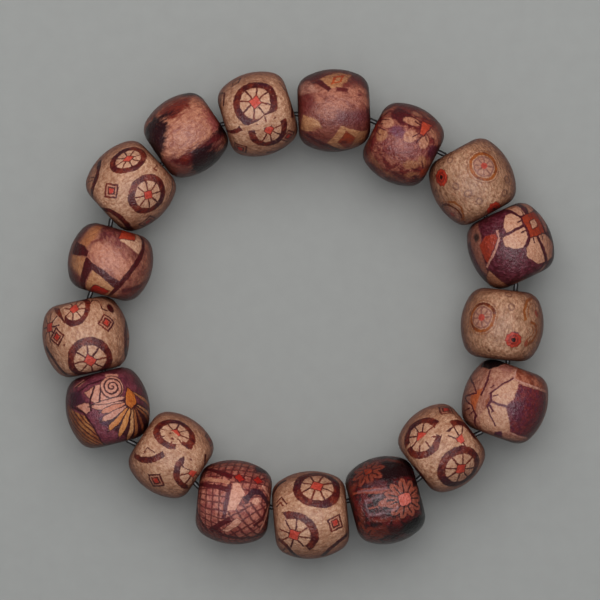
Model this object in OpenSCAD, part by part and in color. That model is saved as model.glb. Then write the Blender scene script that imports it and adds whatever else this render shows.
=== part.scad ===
// Stretch bracelet of wooden barrel beads, lying flat as a closed ring.
// Millimetres, +Z up. The origin is on the surface that the beads rest on,
// under the middle of the bracelet; the ring is longest along X.

/* [Beads] */
// Average length of a bead, measured along its hole
bead_l = 10.1; // [10.1:0.1:14]
// Average widest diameter of a bead
bead_d = 12; // [9:0.1:12]
// Diameter at which the side would meet the flat end, as a share of the widest diameter
end_share = 0.7; // [0.6:0.01:0.7]
// Radius that rounds the edge between side and end
rim_r = 2.5; // [2.5:0.1:3]
// Diameter of the hole through each bead
bore_d = 4.4; // [4.4:0.1:4.8]

/* [Elastic] */
// Thickness of the round elastic thread
elastic_d = 0.7; // [0.4:0.1:0.7]

/* [Hidden] */
$fn = 96;

// Average bead length that the places in the table below were measured for
strung_l = 10.1;

// One row for each bead, clockwise seen from above, starting at the upper left.
// x, y: middle of the bead on the surface; turn: direction of its hole, anticlockwise from +X;
// longer, wider: how much it differs from the average bead.
BEADS = [
  // name, x, y, turn, longer, wider
  ["wheel_bead_1", -5.8, 28.4, 17, -0.2, 0],
  ["banded_bead_1", 5, 28.9, 2, 0.1, -0.2],
  ["blossom_bead", 14.9, 24.1, -27, -0.5, -0.5],
  ["rosette_bead_1", 24.7, 18.8, -61, 0.2, -0.2],
  ["petal_bead_1", 30.1, 9.7, -65, 0.2, 0],
  ["rosette_bead_2", 28.9, -1.5, -96, -0.2, -0.2],
  ["petal_bead_2", 29.3, -12.4, -110, 0.2, 0.1],
  ["wheel_bead_2", 20.3, -19, -142, -0.5, 0.3],
  ["daisy_bead", 12.3, -26.4, -165, -0.2, 0.5],
  ["wheel_bead_3", 1.7, -28.5, -175, 0.4, 0.5],
  ["lattice_bead", -9.2, -26.7, 174, 0.2, 0],
  ["wheel_bead_4", -18.1, -20, 147, -0.3, -0.2],
  ["fan_bead", -27.1, -13.3, 104, 0.2, -0.1],
  ["wheel_bead_5", -30.2, -3.2, 102, 0.3, 0.3],
  ["banded_bead_2", -26.7, 7.4, 74, -0.5, 0.1],
  ["wheel_bead_6", -23.8, 18.2, 43, 0.3, 0],
  ["shaded_bead", -16, 25.4, 34, -0.2, -0.6]
];
NAME = 0;
X = 1;
Y = 2;
TURN = 3;
LONGER = 4;
WIDER = 5;

spread = bead_l / strung_l;
elastic_z = bead_d / 2;
elastic_sides = 8;
// How far the rim's arc is set out past the side and the end, so that they cross instead of touching
rim_cross = 0.02;
// Room kept between the elastic and the wall of each hole
elastic_room = 0.4;
// How far inside a hole's mouth the elastic is guided
guide_in = 0.1;
// Length over which the elastic starts, and ends, each bend
bend_l = 0.3;
// Passes that it takes for the elastic to settle on its shortest way
settle_passes = 80;

function middle(bead) = spread * [bead[X], bead[Y]];
function along(bead) = [cos(bead[TURN]), sin(bead[TURN])];
function long(bead) = bead_l + bead[LONGER];
function wide(bead) = bead_d + bead[WIDER];
function unit(v) = v / norm(v);
function across(v) = [-v[1], v[0]];

// The elastic is pulled tight through two gates for each bead, just inside the mouths of its hole.
// A gate is [middle, direction that the elastic can shift in].
GATES = [
  for (bead = BEADS)
    for (side = [-1, 1])
      let (reach = long(bead) / 2 - guide_in)
        [middle(bead) + side * reach * along(bead), across(along(bead))]
];
gates = len(GATES);
play = (bore_d - elastic_d) / 2 - elastic_room;

function within_play(shift) = max(-play, min(play, shift));
function gate_point(i, shifts) = GATES[i][0] + shifts[i] * GATES[i][1];
// The point is drawn to both neighbours, more strongly to the nearer one, and goes half of that way
function drawn_shift(i, shifts) =
  let (
    here = gate_point(i, shifts),
    before = gate_point((i + gates - 1) % gates, shifts),
    after = gate_point((i + 1) % gates, shifts),
    pull_back = 1 / norm(before - here),
    pull_on = 1 / norm(after - here),
    drawn_to = (pull_back * before + pull_on * after) / (pull_back + pull_on)
  )
    within_play((shifts[i] + (drawn_to - GATES[i][0]) * GATES[i][1]) / 2);
function settle(shifts, passes) =
  passes == 0 ? shifts : settle([for (i = [0:gates - 1]) drawn_shift(i, shifts)], passes - 1);

// The elastic's middle line: each run between two gates, cut short where it bends
function elastic_route() =
  let (shifts = settle([for (gate = GATES) 0], settle_passes))
    [
      for (i = [0:gates - 1])
        let (
          start = gate_point(i, shifts),
          end = gate_point((i + 1) % gates, shifts),
          cut = min(bend_l, 0.3 * norm(end - start)) * unit(end - start)
        )
          each [start + cut, end - cut]
    ];

// Half of a bead's cut face, with the hole's axis up Y: swelling side, rounded rims, flat ends
module bead_section(length, width) {
  half = length / 2;
  swell = width * (1 - end_share) / 2;
  side_r = (half * half + swell * swell) / (2 * swell);
  side_x = width / 2 - side_r;
  rim_y = half - rim_r;
  rim_x = side_x + sqrt((side_r - rim_r) ^ 2 - rim_y ^ 2);
  // Height at which the rim's arc takes over from the side's arc
  meet_y = rim_y * side_r / (side_r - rim_r);
  intersection() {
    union() {
      intersection() {
        translate([side_x, 0]) circle(side_r);
        translate([0, -meet_y]) square([width, 2 * meet_y]);
      }
      for (side = [-1, 1]) translate([rim_x + rim_cross, side * (rim_y + rim_cross)]) circle(rim_r);
      translate([0, -length]) square([rim_x, 2 * length]);
    }
    translate([bore_d / 2, -half]) square([width, length]);
  }
}

module bead(row) {
  color(row[NAME][0] == "w" || row[NAME][0] == "r" ? "BurlyWood" : "IndianRed")
    translate([middle(row)[0], middle(row)[1], wide(row) / 2])
      rotate([0, 0, row[TURN]])
        rotate([0, 90, 0])
          rotate_extrude() bead_section(long(row), wide(row));
}

// Closed loop, swept as one tube round its middle line
module elastic_thread() {
  route = elastic_route();
  rings = len(route);
  points = [
    for (i = [0:rings - 1])
      let (out = across(unit(route[(i + 1) % rings] - route[(i + rings - 1) % rings])))
        for (k = [0:elastic_sides - 1])
          let (
            angle = 360 * k / elastic_sides,
            at = route[i] + elastic_d / 2 * cos(angle) * out
          )
            [at[0], at[1], elastic_z + elastic_d / 2 * sin(angle)]
  ];
  faces = [
    for (i = [0:rings - 1], k = [0:elastic_sides - 1])
      let (
        here = i * elastic_sides,
        there = (i + 1) % rings * elastic_sides,
        next = (k + 1) % elastic_sides
      )
        each [[here + k, there + next, there + k], [here + k, here + next, there + next]]
  ];
  color("WhiteSmoke") polyhedron(points, faces);
}

for (row = BEADS) bead(row);
elastic_thread();
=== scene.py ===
import math
import bmesh
import bpy
from mathutils import Matrix, Vector, noise


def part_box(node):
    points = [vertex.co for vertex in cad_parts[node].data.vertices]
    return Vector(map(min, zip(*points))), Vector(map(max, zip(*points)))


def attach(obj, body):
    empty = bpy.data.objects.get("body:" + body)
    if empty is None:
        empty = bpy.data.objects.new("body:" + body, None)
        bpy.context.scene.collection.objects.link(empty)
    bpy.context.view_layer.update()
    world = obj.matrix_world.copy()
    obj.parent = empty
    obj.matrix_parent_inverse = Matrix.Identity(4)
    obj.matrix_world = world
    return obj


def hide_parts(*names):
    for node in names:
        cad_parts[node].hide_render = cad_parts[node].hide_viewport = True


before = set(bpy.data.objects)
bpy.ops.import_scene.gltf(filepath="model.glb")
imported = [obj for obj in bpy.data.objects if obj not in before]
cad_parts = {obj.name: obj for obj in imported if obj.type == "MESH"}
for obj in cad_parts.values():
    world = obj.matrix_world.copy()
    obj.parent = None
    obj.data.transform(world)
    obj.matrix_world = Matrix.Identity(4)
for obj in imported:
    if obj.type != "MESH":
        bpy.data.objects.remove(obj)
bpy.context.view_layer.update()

endShare = 0.7
rimRadius = 2.5
boreRadius = 2.2
# steps along each arc of a bead's section, and round the bead
arcSteps = 8
roundSteps = 80
# the print's girth falls by the square of the way along, over this many mm
girthFall = 16
# mm of way over the surface that the whole height of the wrap stands for
wrapSpan = 30
# longer than any print, so that a wrap at this step changes nothing
unwrapped = 99
cameraHeight = 0.55
sensorWidth = 36
# width of the picture at the target
viewWidth = 0.0852
# turns an angle round a bead into mm of print
flatGirth = 5.6
# the camera is over the ring's middle, so it sees each bead a little from inside
leanBack = math.radians(3)


def shade(red, green, blue):
    # a colour as a paint chart gives it, made linear
    return tuple((c / 255 / 12.92) if c < 10.3 else ((c / 255 + 0.055) / 1.055) ** 2.4
                 for c in (red, green, blue)) + (1,)


cream = shade(200, 156, 128)
tan = shade(184, 130, 90)
pink = shade(196, 142, 122)
maroon = shade(78, 10, 14)
brownInk = shade(104, 34, 18)
redInk = shade(188, 52, 36)
orangeInk = shade(180, 78, 34)
nearBlack = shade(22, 5, 8)


# Bead shape


class Section:
    # half of a bead's cut face in mm, from the widest place to the middle of the hole's wall
    def __init__(self, length, width):
        self.half = length / 2
        self.width = width
        swell = width * (1 - endShare) / 2
        self.sideRadius = (self.half ** 2 + swell ** 2) / (2 * swell)
        self.sideMiddle = width / 2 - self.sideRadius
        self.rimAlong = self.half - rimRadius
        self.turn = math.asin(self.rimAlong / (self.sideRadius - rimRadius))
        self.rimMiddle = self.sideMiddle + (self.sideRadius - rimRadius) * math.cos(self.turn)
        self.sideReach = self.sideRadius * self.turn
        places = []
        for step in range(arcSteps + 1):
            angle = self.turn * step / arcSteps
            places.append((self.sideRadius * math.sin(angle),
                           self.sideMiddle + self.sideRadius * math.cos(angle),
                           self.sideRadius * angle))
        for step in range(1, arcSteps + 1):
            angle = self.turn + (math.pi / 2 - self.turn) * step / arcSteps
            places.append((self.rimAlong + rimRadius * math.sin(angle),
                           self.rimMiddle + rimRadius * math.cos(angle),
                           self.sideReach + rimRadius * (angle - self.turn)))
        self.rimReach = places[-1][2]
        reach = self.rimReach + self.rimMiddle - boreRadius
        places += [(self.half, boreRadius + 0.15, reach - 0.15),
                   (self.half - 0.15, boreRadius, reach + 0.1),
                   (self.half - 0.5, boreRadius, reach + 0.5),
                   (self.half / 2, boreRadius, reach + self.half / 2),
                   (0, boreRadius, reach + self.half)]
        self.places = places

    def reachAt(self, along):
        # way over the surface from the middle, for a place seen this far along the hole
        distance = abs(along)
        if distance < self.sideRadius * math.sin(self.turn):
            reach = self.sideRadius * math.asin(distance / self.sideRadius)
        elif distance < self.half:
            angle = math.asin((distance - self.rimAlong) / rimRadius)
            reach = self.sideReach + rimRadius * (angle - self.turn)
        else:
            reach = self.rimReach + distance - self.half
        return math.copysign(reach, along)

    def girthAt(self, reach):
        return self.width / 2 - reach ** 2 / girthFall

    def angleAt(self, along, across):
        # angle round the hole for a place seen this far across; past the edge it is unrolled
        share = across / self.girthAt(min(abs(self.reachAt(along)), 5))
        if abs(share) > 1:
            return math.copysign(math.pi / 2 + abs(share) - 1, across) - leanBack
        return math.asin(share) - leanBack


def readBead(node):
    # place, direction and size of a packed bead, from its flat ends and its box
    facing = {}
    for face in node.data.polygons:
        if abs(face.normal.z) < 0.001:
            key = (round(face.normal.x, 2), round(face.normal.y, 2))
            facing[key] = facing.get(key, Vector()) + face.area * face.normal
    axis = max(facing.values(), key=lambda total: total.length).normalized()
    low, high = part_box(node.name)
    middle = (low + high) / 2
    if middle.cross(axis).z > 0:
        axis = -axis  # clockwise, seen from above
    reach = [(vertex.co - middle).dot(axis) for vertex in node.data.vertices]
    return middle, axis, (max(reach) - min(reach)) * 1000, (high.z - low.z) * 1000


def makeBead(name, middle, axis, section):
    half = [place[:2] for place in section.places]
    loop = [(-along, radius) for along, radius in reversed(half[1:])] + half[:-1]
    shape = bmesh.new()
    corners = [shape.verts.new((along, 0, -radius)) for along, radius in loop]
    edges = [shape.edges.new((corners[i], corners[(i + 1) % len(corners)])) for i in range(len(corners))]
    bmesh.ops.spin(shape, geom=corners + edges, cent=(0, 0, 0), axis=(1, 0, 0),
                   angle=math.tau, steps=roundSteps, use_merge=True)
    bmesh.ops.remove_doubles(shape, verts=shape.verts, dist=0.0001)
    bmesh.ops.recalc_face_normals(shape, faces=shape.faces)
    wrap = shape.loops.layers.uv.new("wrap")
    reachOf = {}
    for vertex in shape.verts:
        radius = math.hypot(vertex.co.y, vertex.co.z)
        reachOf[vertex] = min(section.places,
                              key=lambda p: abs(p[0] - abs(vertex.co.x)) + abs(p[1] - radius))[2]
    for face in shape.faces:
        center = face.calc_center_median()
        turned = math.atan2(center.y, center.z)
        for corner in face.loops:
            here = math.atan2(corner.vert.co.y, corner.vert.co.z)
            here = turned + (here - turned + math.pi) % math.tau - math.pi
            along = math.copysign(reachOf[corner.vert], center.x)
            corner[wrap].uv = (here / math.tau + 0.5, along / wrapSpan + 0.5)
        face.smooth = True
    for vertex in shape.verts:  # hand-turned wood isn't quite round
        dent = 0.5 + 0.5 * noise.noise(vertex.co * 0.22 + middle * 900)
        vertex.co.y *= 1 - 0.007 * dent
        vertex.co.z *= 1 - 0.007 * dent
    mesh = bpy.data.meshes.new(name)
    shape.to_mesh(mesh)
    shape.free()
    side = Vector((-axis.y, axis.x, 0))
    turn = Matrix((axis, side, (0, 0, 1))).transposed().to_4x4()
    mesh.transform(Matrix.Translation(middle) @ turn @ Matrix.Scale(0.001, 4))
    bead = bpy.data.objects.new(name, mesh)
    bpy.context.scene.collection.objects.link(bead)
    return bead


# Prints


class Paint:
    # the nodes of one material; a value is a number, a tuple or an earlier node's output
    def __init__(self, name, section):
        self.section = section
        self.material = bpy.data.materials.new(name)
        self.material.use_nodes = True
        self.tree = self.material.node_tree
        self.tree.nodes.clear()
        where = self.split(self.node("UVMap", {}, uv_map="wrap"))
        self.along = self.calc("MULTIPLY", self.calc("SUBTRACT", where[1], 0.5), wrapSpan)
        turned = self.calc("MULTIPLY", self.calc("SUBTRACT", where[0], 0.5), math.tau)
        girth = self.calc("MULTIPLY_ADD", self.calc("MULTIPLY", self.along, self.along),
                          -1 / girthFall, section.width / 2)
        girth = self.calc("MAXIMUM", girth, 2)
        self.stretch = self.join(1, girth, 1)
        self.solid = self.join(self.along,
                               self.calc("MULTIPLY", girth, self.calc("SINE", turned)),
                               self.calc("MULTIPLY", girth, self.calc("COSINE", turned)))
        # the print wanders a little off its place, as one put on by hand
        shift = self.vec("SUBTRACT", self.cloud(0.5, detail=2, output=1), (0.5, 0.5, 0.5))
        self.place = self.vec("MULTIPLY_ADD", shift, (0.6, 0.1, 0), self.join(self.along, turned, 0))
        self.flat = self.vec("MULTIPLY_ADD", self.place, (1, flatGirth, 0), (0, 0, 1))
        self.fine = self.calc("SUBTRACT", self.cloud(4, detail=3), 0.5)
        self.ragged = self.calc("MULTIPLY", self.fine, 0.3)
        self.patchy = self.cloud(0.9, detail=3)
        self.worn = self.smooth(self.cloud(2.6, detail=4, rough=0.7), 0.54, 0.76)
        # the dark print runs from brown to maroon and wine
        warm = self.mix(self.smooth(self.cloud(0.8, detail=4, rough=0.7), 0.42, 0.6), maroon,
                        shade(116, 38, 20))
        self.ink = self.mix(self.smooth(self.cloud(0.3, detail=1), 0.5, 0.66), warm, shade(72, 14, 30))

    def feed(self, socket, value):
        if isinstance(value, bpy.types.NodeSocket):
            self.tree.links.new(value, socket)
        else:
            socket.default_value = value

    def node(self, kind, values, output=0, **settings):
        made = self.tree.nodes.new("ShaderNode" + kind)
        for key, value in settings.items():
            setattr(made, key, value)
        for key, value in values.items():
            self.feed(made.inputs[key], value)
        return made.outputs[output]

    def calc(self, operation, *values):
        return self.node("Math", dict(enumerate(values)), operation=operation)

    def vec(self, operation, *values):
        output = 1 if operation in ("LENGTH", "DOT_PRODUCT") else 0
        return self.node("VectorMath", dict(enumerate(values)), output, operation=operation)

    def join(self, x, y, z):
        return self.node("CombineXYZ", {0: x, 1: y, 2: z})

    def split(self, value):
        made = self.tree.nodes.new("ShaderNodeSeparateXYZ")
        self.feed(made.inputs[0], value)
        return made.outputs

    def cloud(self, scale, detail=2, output=0, vector=None, rough=0.55, warp=0):
        return self.node("TexNoise", {"Vector": vector or self.solid, "Scale": scale, "Detail": detail,
                                      "Roughness": rough, "Distortion": warp}, output)

    def smooth(self, value, low, high):
        return self.node("MapRange", {"Value": value, "From Min": low, "From Max": high},
                         interpolation_type="SMOOTHSTEP")

    def mix(self, factor, first, second, kind="RGBA", blend="MIX"):
        a, b, output = {"FLOAT": (2, 3, 0), "VECTOR": (4, 5, 1), "RGBA": (6, 7, 2)}[kind]
        return self.node("Mix", {0: factor, a: first, b: second}, output, data_type=kind, blend_type=blend)

    def most(self, *values):
        best = values[0]
        for value in values[1:]:
            best = self.calc("MAXIMUM", best, value)
        return best

    def least(self, *values):
        best = values[0]
        for value in values[1:]:
            best = self.calc("MINIMUM", best, value)
        return best

    def around(self, along, across, turn=0, size=1, squash=1, cut=9):
        # the surface laid flat round one motif; the third coordinate is where the motif is cut off
        reach = self.section.reachAt(along)
        angle = self.section.angleAt(along, across)
        offset = self.vec("SUBTRACT", self.place, (reach, angle, -cut))
        if abs(angle) > 1.7:  # near the underside a motif can lie over the wrap's seam
            offset = self.vec("WRAP", offset, (unwrapped, math.pi, unwrapped),
                              (-unwrapped, -math.pi, -unwrapped))
        local = self.vec("MULTIPLY", offset, self.stretch)
        return self.node("Mapping", {"Vector": local, "Rotation": (0, 0, math.radians(turn)),
                                     "Scale": (size, size * squash, 1)}, vector_type="TEXTURE")

    def far(self, local):
        return self.vec("LENGTH", self.vec("MULTIPLY", local, (1, 1, 0)))

    def nearest(self, rows):
        best = self.around(*rows[0])
        least = self.far(best)
        for row in rows[1:]:
            other = self.around(*row)
            distance = self.far(other)
            best = self.mix(self.calc("LESS_THAN", distance, least), best, other, "VECTOR")
            least = self.calc("MINIMUM", distance, least)
        return best

    def band(self, value, middle, half):
        # how deep a value lies inside a band; negative outside
        off = self.calc("ABSOLUTE", self.calc("SUBTRACT", value, middle))
        return self.calc("SUBTRACT", half, off)

    def corner(self, along, across):
        # a place as seen from above, laid flat
        return Vector((self.section.reachAt(along), self.section.angleAt(along, across) * flatGirth))

    def oval(self, along, across, length, width, turn=0):
        local = self.around(along, across, turn, length, width / length)
        return self.calc("MULTIPLY", self.calc("SUBTRACT", 1, self.far(local)), min(length, width))

    def inside(self, places):
        # depth inside a shape without hollow sides
        flat = [self.corner(*place) for place in places]
        middle = sum(flat, Vector((0, 0))) / len(flat)
        sides = []
        for first, second in zip(flat, flat[1:] + flat[:1]):
            across = Vector((first.y - second.y, second.x - first.x)).normalized()
            if across.dot(middle - first) < 0:
                across = -across
            sides.append(self.vec("DOT_PRODUCT", self.flat, (across.x, across.y, -across.dot(first))))
        return self.least(*sides)

    def track(self, places, half):
        # depth inside a drawn line
        flat = [self.corner(*place) for place in places]
        parts = []
        for first, second in zip(flat, flat[1:]):
            middle = (first + second) / 2
            length = (second - first).length
            ahead = (second - first) / length
            aside = Vector((-ahead.y, ahead.x))
            x = self.vec("DOT_PRODUCT", self.flat, (ahead.x, ahead.y, -ahead.dot(middle)))
            y = self.vec("DOT_PRODUCT", self.flat, (aside.x, aside.y, -aside.dot(middle)))
            parts.append(self.least(self.band(x, 0, length / 2 + half * 0.4), self.band(y, 0, half)))
        return self.most(*parts)

    def coat(self, colour, depth, soft=0.07, strength=1.0, worn=0.3):
        edge = self.smooth(self.calc("ADD", depth, self.ragged), -soft, soft)
        cover = self.calc("MULTIPLY_ADD", self.worn, -worn * strength, strength)
        self.colour = self.mix(self.calc("MULTIPLY", edge, cover), self.colour, colour)

    def patch(self, colour, places, soft=0.07, strength=1.0, worn=0.15, edge=0, ink=maroon):
        depth = self.inside(places)
        if edge:
            self.coat(ink, self.calc("ADD", depth, edge))
        self.coat(colour, depth, soft, strength, worn)

    def line(self, colour, places, half=0.1, soft=0.06, strength=1.0):
        self.coat(colour, self.track(places, half), soft, strength)

    def spot(self, colour, along, across, length, width, turn=0, soft=0.08, strength=1.0):
        self.coat(colour, self.oval(along, across, length, width, turn), soft, strength, 0.15)

    def streaks(self, colour, turn, strength=0.5, scale=1.0):
        # the dye runs along one direction
        ahead, aside = math.cos(math.radians(turn)), math.sin(math.radians(turn))
        x = self.vec("DOT_PRODUCT", self.solid, (ahead * 0.35 * scale, aside * 0.35 * scale, 0))
        y = self.vec("DOT_PRODUCT", self.solid, (-aside * 1.2 * scale, ahead * 1.2 * scale, 0))
        z = self.vec("DOT_PRODUCT", self.solid, (0, 0, 0.7 * scale))
        run = self.cloud(1, detail=4, vector=self.join(x, y, z), rough=0.65)
        self.colour = self.mix(self.calc("MULTIPLY", self.smooth(run, 0.45, 0.66), strength),
                               self.colour, colour)

    def finish(self, gloss=0.5, uneven=1.0, grain=0.5):
        # a thin uneven varnish over wood whose pores still show
        wear = self.smooth(self.patchy, 0.35, 0.75)
        soaked = self.mix(1.0, self.colour, shade(206, 168, 152), blend="MULTIPLY")
        spread = self.smooth(self.cloud(2.2, detail=5, rough=0.75), 0.4, 0.64)
        colour = self.mix(self.calc("MULTIPLY", spread, grain * 1.4), self.colour, soaked)
        speck = self.smooth(self.cloud(6, detail=2), 0.64, 0.76)
        colour = self.mix(self.calc("MULTIPLY", speck, 0.35), colour, shade(84, 40, 30))
        # painted shade where neighbouring beads meet, with some wear: darker on the rims and round the
        # hole's mouths
        rimWearAndShade = self.smooth(self.calc("ABSOLUTE", self.along), 5.2, 7)
        colour = self.mix(self.calc("MULTIPLY", rimWearAndShade, 0.6), colour, shade(58, 28, 24))
        bump = self.calc("MULTIPLY_ADD", self.cloud(1.1, detail=3), 0.6,
                         self.calc("MULTIPLY", self.cloud(3, detail=3, rough=0.7), 0.5))
        normal = self.node("Bump", {"Strength": 0.6 * uneven, "Distance": 0.0004, "Height": bump})
        # painted shade: the sides darken as the surface turns away from the view, standing in for the light
        # that falls off there; a tinted varnish seen at a slant darkens a little too
        sideShade = self.node("LayerWeight", {"Blend": 0.5, "Normal": normal}, 1)
        deep = self.mix(1.0, colour, shade(138, 88, 70), blend="MULTIPLY")
        colour = self.mix(self.smooth(sideShade, 0.06, 0.8), colour, deep)
        rough = self.calc("MULTIPLY_ADD", wear, 0.2, 0.62 - gloss * 0.4)
        shader = self.node("BsdfPrincipled", {
            "Base Color": colour, "Roughness": rough, "Normal": normal, "IOR": 1.35,
            "Specular IOR Level": 0.2, "Coat Weight": gloss, "Coat Roughness": 0.32,
            "Coat IOR": 1.35, "Coat Normal": normal})
        made = self.tree.nodes.new("ShaderNodeOutputMaterial")
        self.feed(made.inputs["Surface"], shader)
        return self.material


def groundWood(paint, light, dark):
    # soft mottling with short fibres along the hole
    fibre = paint.cloud(1, detail=5, vector=paint.vec("MULTIPLY", paint.solid, (1.1, 2.6, 2.6)), rough=0.65)
    colour = paint.mix(paint.smooth(fibre, 0.36, 0.68), light, dark)
    clouded = paint.smooth(paint.cloud(0.4, detail=3), 0.4, 0.7)
    return paint.mix(paint.calc("MULTIPLY", clouded, 0.5), colour, dark)


def mottled(paint, first, second, scale=1.2, low=0.4, high=0.6):
    return paint.mix(paint.smooth(paint.cloud(scale, detail=4, rough=0.65, warp=0.4), low, high), first,
                     second)


def polar(paint, x, y):
    far = paint.calc("SQRT", paint.calc("MULTIPLY_ADD", x, x, paint.calc("MULTIPLY", y, y)))
    return far, paint.calc("ARCTAN2", y, x)


def eightSpokes(paint, far, turned, reach):
    # depth inside eight spokes that go out this far
    folded = paint.calc("PINGPONG", turned, math.pi / 8)
    spoke = paint.calc("SUBTRACT", 0.12, paint.calc("MULTIPLY", far, paint.calc("SINE", folded)))
    return paint.least(spoke, paint.calc("SUBTRACT", reach, far))


def drawWheels(paint, rows):
    # ring, eight spokes and a red diamond for a hub; the ring alone can be cut off
    x, y, cut = paint.split(paint.nearest(rows))
    far, turned = polar(paint, x, y)
    spoke = eightSpokes(paint, far, turned, 2.2)
    hub = paint.calc("ADD", paint.calc("ABSOLUTE", x), paint.calc("ABSOLUTE", y))
    hub = paint.calc("MULTIPLY", paint.calc("SUBTRACT", 0.82, hub), 0.7)
    ring = paint.least(paint.band(far, 2.62, 0.52), paint.calc("SUBTRACT", cut, y))
    paint.coat(shade(208, 164, 136), paint.calc("SUBTRACT", 2.2, far), strength=0.5, worn=0)
    paint.coat(paint.ink, paint.most(ring, spoke, paint.band(hub, -0.03, 0.11)), worn=0.45)
    paint.coat(paint.mix(paint.patchy, redInk, shade(206, 84, 66)), hub, worn=0.1)


def drawSquares(paint, rows):
    x, y = paint.split(paint.nearest(rows))[:2]
    side = paint.most(paint.calc("ABSOLUTE", x), paint.calc("ABSOLUTE", y))
    lines = paint.most(paint.band(side, 0.88, 0.13), paint.band(side, 0.44, 0.13))
    paint.coat(shade(186, 118, 98), paint.calc("SUBTRACT", 0.9, side), strength=0.45)
    paint.coat(paint.ink, lines)
    paint.coat(redInk, paint.calc("SUBTRACT", 0.33, side))


def drawMarks(paint, chart, ink, lineSoft, spotSoft):
    for places, half in chart.get("lines", ()):
        paint.line(ink, places, half, lineSoft)
    for row in chart.get("spots", ()):
        paint.spot(*row, spotSoft)


def wheelPrint(name, section):
    chart = wheelCharts[name]
    paint = Paint(name, section)
    paint.colour = groundWood(paint, shade(206, 162, 132), shade(166, 118, 88))
    clean = paint.colour
    drawWheels(paint, chart["wheels"])
    for places in chart.get("bare", ()):
        paint.patch(clean, places, worn=0)
    if "upper" in chart:
        drawWheels(paint, chart["upper"])
    drawSquares(paint, chart["squares"])
    drawMarks(paint, chart, paint.ink, 0.06, 0.08)
    return paint.finish(0.45)


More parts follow.
